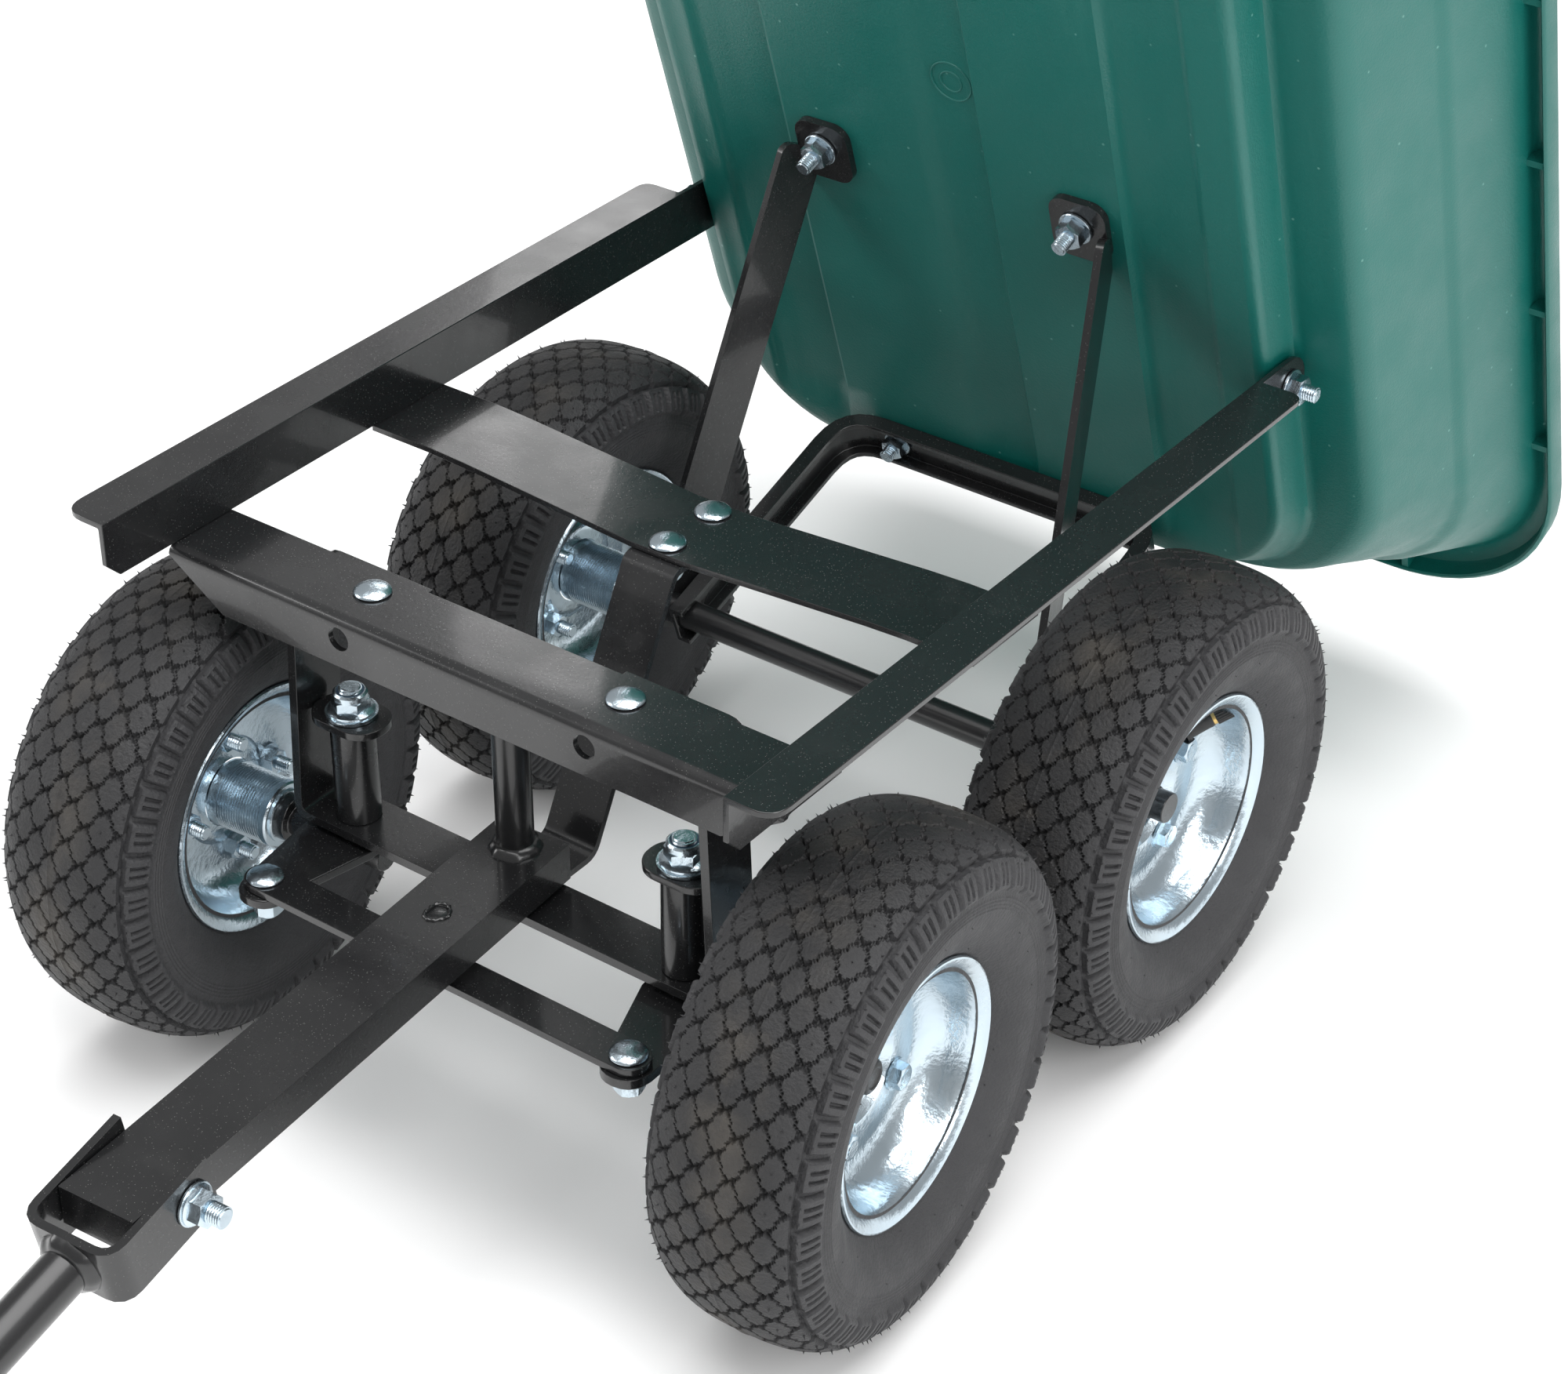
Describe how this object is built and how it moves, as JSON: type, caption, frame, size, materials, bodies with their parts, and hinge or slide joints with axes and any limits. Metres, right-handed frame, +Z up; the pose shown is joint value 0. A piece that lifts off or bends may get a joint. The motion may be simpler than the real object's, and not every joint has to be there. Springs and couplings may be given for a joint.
{
  "type": "garden dump cart",
  "caption": "Pull-along garden cart with a moulded tub that tips on a steel frame, steered front wheels, pneumatic tyres and a loop-grip handle.",
  "frame": {"origin": "on the ground, in the cart's middle plane, midway along the whole cart's bounding box", "axes": "+Z up, -Y toward the pull handle, +X to the right of someone who stands at the handle and looks at the cart"},
  "size_m": [0.486, 1.7339, 0.8481],
  "materials": {
    "black_paint": "gloss powder coat",
    "tub_plastic": "satin moulded polyethylene",
    "zinc_steel": "bright zinc plating",
    "tyre_rubber": "matt rubber",
    "black_plastic": "satin"
  },
  "bodies": {
    "frame": {"rail_right": "black_paint", "rail_left": "black_paint", "kingpin_post_right": "black_paint", "kingpin_post_left": "black_paint", "crossmember_bolt_right": "zinc_steel", "crossmember_bolt_left": "zinc_steel", "front_crossmember": "black_paint", "mid_plate": "black_paint", "centre_strap": "black_paint", "front_axle_bracket": "black_paint", "mid_plate_bolt_rear": "zinc_steel", "mid_plate_bolt_front": "zinc_steel"},
    "tub": {"tub": "tub_plastic", "hoop": "black_paint", "rear_axle": "black_paint", "strap_right": "black_paint", "strap_left": "black_paint", "strap_bolt_right": "zinc_steel", "strap_bolt_left": "zinc_steel", "hoop_bolt_right": "zinc_steel", "hoop_bolt_left": "zinc_steel", "hinge_bolt_right": "zinc_steel", "hinge_bolt_left": "zinc_steel"},
    "tongue": {"tongue_tube": "black_paint", "tongue_pivot": "black_paint", "tongue_pin": "black_paint"},
    "tie_rod": {"tie_rod": "black_paint"},
    "knuckle_right": {"knuckle_right": "black_paint", "kingpin_bolt_right": "zinc_steel", "tie_bolt_right": "zinc_steel"},
    "knuckle_left": {"knuckle_left": "black_paint", "kingpin_bolt_left": "zinc_steel", "tie_bolt_left": "zinc_steel"},
    "handle": {"yoke": "black_paint", "handle_tube": "black_paint", "grip_loop": "black_paint", "yoke_bolt": "zinc_steel"},
    "wheel_front_right": {"tyre_front_right": "tyre_rubber", "rim_front_right": "zinc_steel", "hub_front_right": "zinc_steel", "axle_cap_front_right": "black_plastic", "valve_front_right": "black_plastic"},
    "wheel_front_left": {"tyre_front_left": "tyre_rubber", "rim_front_left": "zinc_steel", "hub_front_left": "zinc_steel", "axle_cap_front_left": "black_plastic", "valve_front_left": "black_plastic"},
    "wheel_rear_right": {"tyre_rear_right": "tyre_rubber", "rim_rear_right": "zinc_steel", "hub_rear_right": "zinc_steel", "axle_cap_rear_right": "black_plastic", "valve_rear_right": "black_plastic"},
    "wheel_rear_left": {"tyre_rear_left": "tyre_rubber", "rim_rear_left": "zinc_steel", "hub_rear_left": "zinc_steel", "axle_cap_rear_left": "black_plastic", "valve_rear_left": "black_plastic"}
  },
  "joints": [
    {"name": "tub_tip", "type": "hinge", "parent": "frame", "child": "tub", "pos_m": [0, 0.623, 0.301], "axis": [1, 0, 0], "range_deg": [0, 71.4]},
    {"name": "tongue_steer", "type": "hinge", "parent": "frame", "child": "tongue", "pos_m": [0, 0.237, 0.161], "axis": [0, 0, 1], "range_deg": [-11, 3]},
    {"name": "knuckle_right_steer", "type": "hinge", "parent": "frame", "child": "knuckle_right", "pos_m": [0.099, 0.237, 0.16], "axis": [0, 0, 1], "range_deg": [-11, 3]},
    {"name": "knuckle_left_steer", "type": "hinge", "parent": "frame", "child": "knuckle_left", "pos_m": [-0.099, 0.237, 0.16], "axis": [0, 0, 1], "range_deg": [-11, 3]},
    {"name": "tie_rod_swing", "type": "hinge", "parent": "tongue", "child": "tie_rod", "pos_m": [0.00419, 0.17715, 0.14], "axis": [0, 0, 1], "range_deg": [-3, 11]},
    {"name": "handle_lift", "type": "hinge", "parent": "tongue", "child": "handle", "pos_m": [0.01807, -0.02137, 0.1611], "axis": [-0.9976, -0.0698, 0], "range_deg": [0, 100]},
    {"name": "wheel_front_right_spin", "type": "hinge", "parent": "knuckle_right", "child": "wheel_front_right", "pos_m": [0.18944, 0.24533, 0.1254], "axis": [0.9976, 0.0698, 0], "continuous": true},
    {"name": "wheel_front_left_spin", "type": "hinge", "parent": "knuckle_left", "child": "wheel_front_left", "pos_m": [-0.18972, 0.23266, 0.1254], "axis": [0.9976, 0.0698, 0], "continuous": true},
    {"name": "wheel_rear_right_spin", "type": "hinge", "parent": "tub", "child": "wheel_rear_right", "pos_m": [0.1825, 0.50106, 0.12501], "axis": [1, 0, 0], "continuous": true},
    {"name": "wheel_rear_left_spin", "type": "hinge", "parent": "tub", "child": "wheel_rear_left", "pos_m": [-0.1825, 0.50106, 0.12501], "axis": [1, 0, 0], "continuous": true}
  ],
  "couplings": [
    {"joint": "knuckle_right_steer", "follows": "tongue_steer", "ratio": 1},
    {"joint": "knuckle_left_steer", "follows": "tongue_steer", "ratio": 1},
    {"joint": "tie_rod_swing", "follows": "tongue_steer", "ratio": -1}
  ]
}
